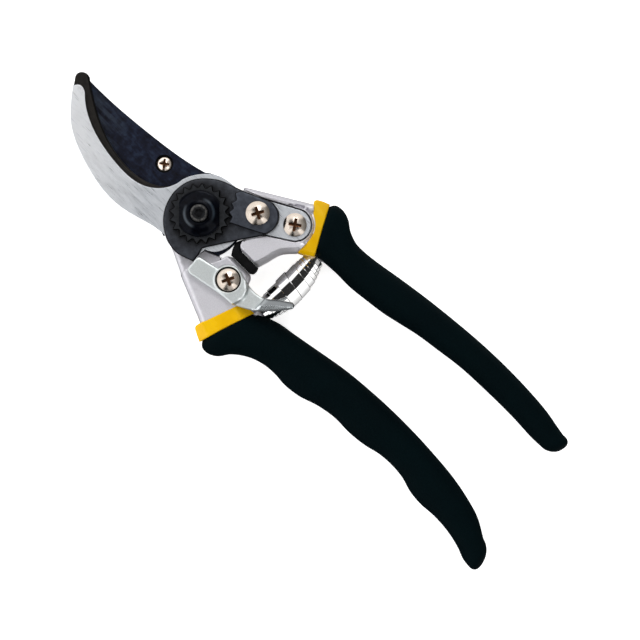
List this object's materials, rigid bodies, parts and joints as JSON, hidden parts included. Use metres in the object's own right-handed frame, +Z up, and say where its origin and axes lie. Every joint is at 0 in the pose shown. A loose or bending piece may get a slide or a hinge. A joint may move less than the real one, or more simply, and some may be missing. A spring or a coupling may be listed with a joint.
{
  "type": "bypass pruner",
  "caption": "Hand pruner with a curved hook and a cutting blade on one pivot, dipped grips, volute spring and thumb latch.",
  "frame": {"origin": "on the pivot axis, in the plane that the flat face of the bolt head and both grips rest on", "axes": "+X from the pivot to the tips of the blades, handles towards -X; +Y towards the blade handle's side; +Z up along the pivot axis, towards the adjusting nut"},
  "size_m": [0.2165, 0.0697, 0.0233],
  "materials": {
    "cast_alloy": "fine grained bright casting",
    "ground_steel": "ground along the blade, dark bevel",
    "black_steel": "black oxide",
    "blue_black_steel": "blue black oxide",
    "nickel_screw": "warm nickel plate",
    "black_nut": "black oxide, satin",
    "black_rubber": "matt",
    "yellow_plastic": "gloss",
    "dipped_grip": "satin dipped vinyl",
    "coated_blade": "dark low friction coating",
    "latch_alloy": "satin",
    "spring_chrome": "polished"
  },
  "bodies": {
    "blade_handle": {"blade_handle_frame": "cast_alloy", "cutting_blade": "coated_blade", "blade_screw": "nickel_screw", "latch_screw": "nickel_screw", "blade_handle_collar": "yellow_plastic", "blade_handle_grip": "dipped_grip", "volute_spring": "spring_chrome"},
    "hook_handle": {"hook_handle_frame": "cast_alloy", "hook_blade": "ground_steel", "lock_plate": "black_steel", "toothed_segment": "blue_black_steel", "segment_screw": "nickel_screw", "tang_screw": "nickel_screw", "adjusting_nut": "black_nut", "pivot_bolt": "black_nut", "pivot_washer": "nickel_screw", "rubber_bumper": "black_rubber", "hook_handle_collar": "yellow_plastic", "hook_handle_grip": "dipped_grip"},
    "latch": {"thumb_latch": "latch_alloy"}
  },
  "joints": [
    {"name": "handle_pivot", "type": "hinge", "parent": "blade_handle", "child": "hook_handle", "pos_m": [0, 0, 0], "axis": [0, 0, 1], "range_deg": [0, 35], "deforming": ["volute_spring"]},
    {"name": "latch_pivot", "type": "hinge", "parent": "blade_handle", "child": "latch", "pos_m": [-0.0226, 0.00895, 0], "axis": [0, 0, 1], "range_deg": [0, 20]}
  ]
}
